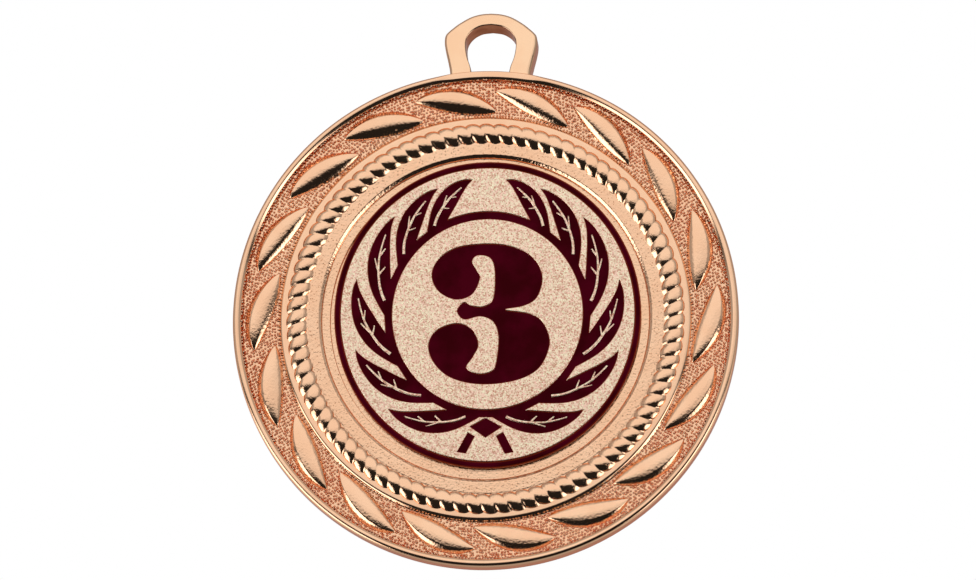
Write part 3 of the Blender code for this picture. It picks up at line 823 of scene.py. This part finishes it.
def wreath_outline():
    """The wreath's outer edge: up the left side along each leaf's back and front, and down the right."""
    left = []
    for root, tip in WREATH_LEAVES:
        left.append(wreath_leaf_line(LEAF_BACK, root, tip, LEAF_LINE_STEPS, -1))
        left.append(wreath_leaf_line(LEAF_FRONT, root, tip, LEAF_LINE_STEPS, -1)[1:])
    root, tip = WREATH_LEAVES[-1]
    turn = np.radians(np.linspace(root + LEAF_FRONT[-1][0] * (tip - root), 180.0, 24)[1:])
    left.append(WREATH_RING_OUTER * np.column_stack([-np.sin(turn), -np.cos(turn)]))
    return np.vstack([(0.0, -WREATH_RING_OUTER), with_mirror_image(np.vstack(left))])


def dense_polygon(corners, steps):
    """A polygon with extra points on its straight sides."""
    corners = np.asarray(corners, dtype=float)
    share = (np.arange(steps) / steps)[None, :, None]
    following = np.roll(corners, -1, axis=0)
    return (corners[:, None] * (1 - share) + following[:, None] * share).reshape(-1, 2)


def emblem(gold, lacquer, pad):
    """The adhesive pad, the stamped plate with its raised gold fields, and the lacquer between them."""
    stem = dense_polygon(STEM, POLYGON_STEPS)
    outlines = {
        "wreath": [on_emblem(wreath_outline()), on_emblem(circle(WREATH_RING_INNER, WREATH_RING_SIDES))],
        "numeral": [on_emblem(smooth_through(NUMERAL, NUMERAL_STEPS))],
        "knot": [on_emblem(dense_polygon(KNOT, POLYGON_STEPS))],
        "stem_left": [on_emblem(stem * (-1, 1))],
        "stem_right": [on_emblem(stem)],
    }
    border = [on_emblem(circle(radius, BORDER_SIDES)) for radius in (EMBLEM_RADIUS, BORDER_INNER_RADIUS)]

    outer_field = [border[1]] + [outlines[name][0] for name in ("wreath", "knot", "stem_left", "stem_right")]
    inner_field = [outlines["wreath"][1], outlines["numeral"][0]]
    plate = joined([relief(border[:1], PLATE_EDGE), relief(outer_field, RAISED_EDGE),
                    relief(inner_field, RAISED_EDGE)])
    make_piece("emblem_plate", *plate, gold, "stamped_gold_plate", ["emblem_disc"], sharp=8.0)

    ring = relief(border, BORDER_EDGE)
    make_piece("lacquer_border", *ring, lacquer, "burgundy_lacquer", ["enamel_border_ring"],
               sharp=30.0, edge_share=edge_shares(border, BORDER_THINNESS, ring[0]))
    for name, loops in outlines.items():
        field = relief(loops, LACQUER_EDGE)
        make_piece(f"lacquer_{name}", *field, lacquer, "burgundy_lacquer", [f"enamel_{name}"],
                   sharp=8.0, edge_share=edge_shares(loops, LACQUER_THINNESS, field[0]))

    pad_low, pad_high = (np.array(corner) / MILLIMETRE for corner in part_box("emblem_adhesive"))
    bottom, top = BACK_Y - pad_high[1], BACK_Y - pad_low[1]
    pad_edge = ((0.02, bottom), (0.0, bottom + 0.03), (0.0, top - 0.03), (0.02, top))
    outline = on_emblem(circle((pad_high[0] - pad_low[0]) / 2, PAD_SIDES))
    make_piece("adhesive_pad", *relief([outline], pad_edge), pad, "foam_adhesive", ["emblem_adhesive"])


def wreath_veins(material):
    """Raised gold veins in the lacquer leaves: a low half-round ridge that thins out along its line."""
    section = np.linspace(0.0, math.pi, 7)
    ring = np.vstack([np.column_stack([np.cos(section), np.sin(section) ** VEIN_ROUNDNESS]), VEIN_UNDERSIDE])
    sizes = [MIDRIB] + [SIDE_VEIN] * (len(LEAF_VEINS) - 1)
    parts = []
    for root, tip in WREATH_LEAVES:
        for side in (-1, 1):
            for vein, (steps, widest) in zip(LEAF_VEINS, sizes):
                line = evenly_spaced(on_emblem(wreath_leaf_line(vein, root, tip, 5, side)), steps)
                along = np.gradient(line, axis=0)
                normal = np.column_stack([-along[:, 1], along[:, 0]])
                normal /= np.linalg.norm(normal, axis=1)[:, None]
                half_width = widest * (VEIN_TAPER[0] - VEIN_TAPER[1] * np.linspace(0.0, 1.0, steps))
                flat = line[:, None] + normal[:, None] * (half_width[:, None] * ring[None, :, 0])[..., None]
                height = LACQUER_TOP + VEIN_RISE * ring[None, :, 1]
                parts.append(closed_tube(on_disc(flat[..., 0], flat[..., 1], height)))
    make_piece("wreath_veins", *joined(parts), material, "stamped_gold_plate", ["emblem_disc"], sharp=80.0)


# ------------------------ the room

def stage_object(name, points, quads, colour, roughness):
    """A mesh with a plain material that isn't part of the medal, such as the floor."""
    mesh = bpy.data.meshes.new(name)
    mesh.from_pydata(points.reshape(-1, 3).tolist(), [], quads.tolist())
    item = bpy.data.objects.new(name, mesh)
    bpy.context.collection.objects.link(item)
    material, tree, shader = new_material(name)
    feed(tree, shader, {"Base Color": (*colour, 1.0), "Roughness": roughness, "Specular IOR Level": 0.0})
    mesh.materials.append(material)
    item.visible_glossy = False


def direction(azimuth, elevation):
    """The direction from the medal towards a viewer at these angles in degrees; azimuth 0 is the front."""
    a, e = math.radians(azimuth), math.radians(elevation)
    return Vector((math.sin(a) * math.cos(e), -math.cos(a) * math.cos(e), math.sin(e)))


def room():
    """A pale floor far below the medal, the studio round it, and a soft panel that only lights."""
    half_width, drop = 2.0, 0.30
    x, y = np.meshgrid([-half_width, half_width], [-half_width, half_width], indexing="ij")
    floor_points = np.stack([x, y, np.full_like(x, -drop)], axis=-1)
    stage_object("pale_floor", floor_points, grid_faces(2, 2)[:, ::-1], (0.82, 0.81, 0.79), 0.9)

    bpy.context.scene.world = studio_surround()
    panel = bpy.data.lights.new("soft_panel", "AREA")
    panel.size = 0.6
    panel.energy = 0.6
    lamp = bpy.data.objects.new("soft_panel", panel)
    towards, distance = direction(-25.0, 50.0), 0.8
    turn = towards.to_track_quat("Z", "Y").to_matrix().to_4x4()
    lamp.matrix_world = Matrix.Translation(towards * distance) @ turn
    lamp.visible_camera = False
    lamp.visible_glossy = False
    bpy.context.collection.objects.link(lamp)


def studio_surround():
    """White to the camera; to the metal a white card ahead, black low in front, kickers low at the sides.

    Each part is a smooth mask of the direction's x, y and z, and the parts' brightnesses add up.
    """
    card_light, kicker_light, rear_light, fill_light, least_light = 0.58, 2.6, 0.35, 0.42, 0.018
    world = bpy.data.worlds.new("studio_surround")
    world.use_nodes = True
    tree = world.node_tree
    tree.nodes.clear()
    ray = add(tree, "ShaderNodeSeparateXYZ", {0: add(tree, "ShaderNodeTexCoord").outputs["Generated"]})
    across, away, up = ray.outputs
    above = ramp(tree, up, -0.08, 0.07)
    tilted = math_node(tree, "SUBTRACT", up, times(tree, across, 0.3))
    falloff = ramp(tree, tilted, 0.150, 0.235, 0.74, 1.0)
    towards_card = plus(tree, times(tree, away, -0.93),
                             times(tree, up, 0.37))
    card = times(tree, ramp(tree, towards_card, 0.50, 0.74), above, falloff)
    open_behind = ramp(tree, away, -0.05, 0.12)
    fill = times(tree, math_node(tree, "MAXIMUM", above, open_behind), fill_light)
    low = ramp(tree, up, -0.10, -0.25)
    aside = plus(tree, ramp(tree, across, -0.42, -0.56), ramp(tree, across, 0.60, 0.74))
    in_front = times(tree, ramp(tree, away, -0.76, -0.62), ramp(tree, away, 0.22, 0.02))
    kickers = times(tree, low, aside, in_front)
    beside = ramp(tree, math_node(tree, "ABSOLUTE", across), 0.30, 0.60)
    rear = times(tree, beside, ramp(tree, away, 0.25, 0.50), ramp(tree, up, 0.12, -0.05))
    bright = plus(tree, times(tree, card, card_light), times(tree, kickers, kicker_light),
                  times(tree, rear, rear_light), fill, least_light)
    seen = add(tree, "ShaderNodeBackground", {"Color": (1.0, 1.0, 1.0, 1.0), "Strength": 1.0}).outputs[0]
    warm_white = (1.0, 0.985, 0.97, 1.0)
    felt = add(tree, "ShaderNodeBackground", {"Color": warm_white, "Strength": bright}).outputs[0]
    to_camera = add(tree, "ShaderNodeLightPath").outputs["Is Camera Ray"]
    mix = add(tree, "ShaderNodeMixShader", {0: to_camera, 1: felt, 2: seen})
    add(tree, "ShaderNodeOutputWorld", {"Surface": mix.outputs[0]})
    return world


def camera():
    """A long lens a little below and to the right of the medal, with a slight roll."""
    azimuth, elevation, roll = 3.9, -12.2, 1.2
    distance, width_seen = 0.45, 0.0771
    aim_across, aim_up = 0.18, 2.22
    towards = direction(azimuth, elevation)
    target = Vector(on_disc(aim_across, aim_up, BAND_HEIGHT) * MILLIMETRE)
    lens = bpy.data.cameras.new("camera")
    lens.sensor_width = 36.0
    lens.lens = lens.sensor_width * distance / width_seen
    lens.clip_start = 0.01
    item = bpy.data.objects.new("camera", lens)
    bpy.context.collection.objects.link(item)
    turn = towards.to_track_quat("Z", "Y").to_matrix().to_4x4() @ Matrix.Rotation(math.radians(roll), 4, "Z")
    item.matrix_world = Matrix.Translation(target + towards * distance) @ turn
    bpy.context.scene.camera = item


def main():
    """Build the medal's surfaces, the room and the camera."""
    skin = plated_skin_effect()
    bronze = (0.940, 0.600, 0.390, 1.0), (0.910, 0.555, 0.350, 1.0)
    pale_bronze = (0.985, 0.665, 0.430, 1.0), (0.950, 0.610, 0.385, 1.0)
    deep_bronze = (0.97, 0.60, 0.39, 1.0), (0.93, 0.52, 0.33, 1.0)
    polished = plated_bronze("polished_bronze", bronze, 0.14, 0.003, 0.12, skin)
    worn = plated_bronze("worn_bronze", bronze, 0.13, 0.018, 0.10, skin)
    # The eyelet's bronze, with painted shade darkening its side walls.
    wall_shaded = plated_bronze("wall_shaded_bronze", pale_bronze, 0.14, 0.004, 0.12, skin,
                            shade_colour=(0.30, 0.14, 0.085, 1.0))
    ground = plated_bronze("ground_bronze", deep_bronze, 0.13, 0.003, 0.3, skin)
    gold = frosted_gold(frost_effect())
    lacquer = burgundy_lacquer(skin)
    medal_body(polished)
    rope_ring(worn)
    border_leaves(worn)
    pebbled_ground(ground)
    eyelet(wall_shaded)
    emblem(gold, lacquer, foam_pad(skin))
    wreath_veins(gold)
    room()
    camera()
    bpy.context.scene.view_settings.view_transform = "Standard"


main()
